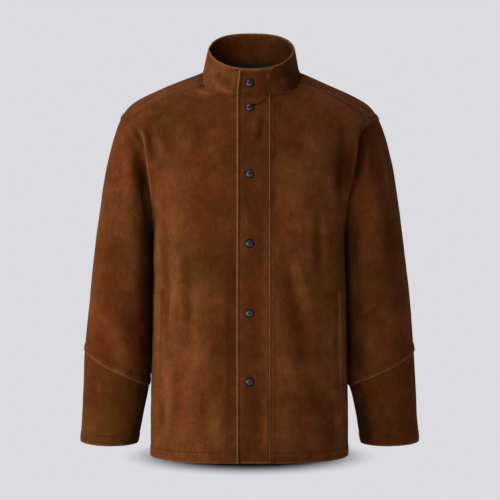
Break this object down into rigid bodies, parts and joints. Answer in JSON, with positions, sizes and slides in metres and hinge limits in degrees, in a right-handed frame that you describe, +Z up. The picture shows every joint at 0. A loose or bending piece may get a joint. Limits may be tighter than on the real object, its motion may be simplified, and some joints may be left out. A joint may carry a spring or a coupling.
{
  "type": "welding jacket",
  "caption": "Hip-length suede welding jacket, filled out and hollow, with a stand-up collar, a snap-fastened front flap, long two-part sleeves and side-seam pockets.",
  "frame": {"origin": "centre of the neck opening, level with the sides of the neck seam, where the jacket rests round a wearer's neck and shoulders", "axes": "+X to the wearer's left, +Y to the back, +Z up"},
  "size_m": [0.659, 0.2669, 0.8289],
  "materials": {
    "suede": "brushed split leather with a short nap, mottled brown, matt",
    "lining": "plain dark woven cloth",
    "thread": "thick brown sewing thread",
    "snap_metal": "dark gunmetal plating with worn edges"
  },
  "bodies": {
    "root": {"back": "suede", "front_right": "suede", "front_left": "suede", "collar": "suede", "sleeve_right": "suede", "sleeve_left": "suede", "forearm_right": "suede", "forearm_left": "suede", "front_flap": "suede", "pocket_welt_right": "suede", "pocket_welt_left": "suede", "neck_lining": "lining", "snap_1": "snap_metal", "snap_2": "snap_metal", "snap_3": "snap_metal", "snap_4": "snap_metal", "snap_5": "snap_metal", "snap_6": "snap_metal"}
  },
  "joints": []
}
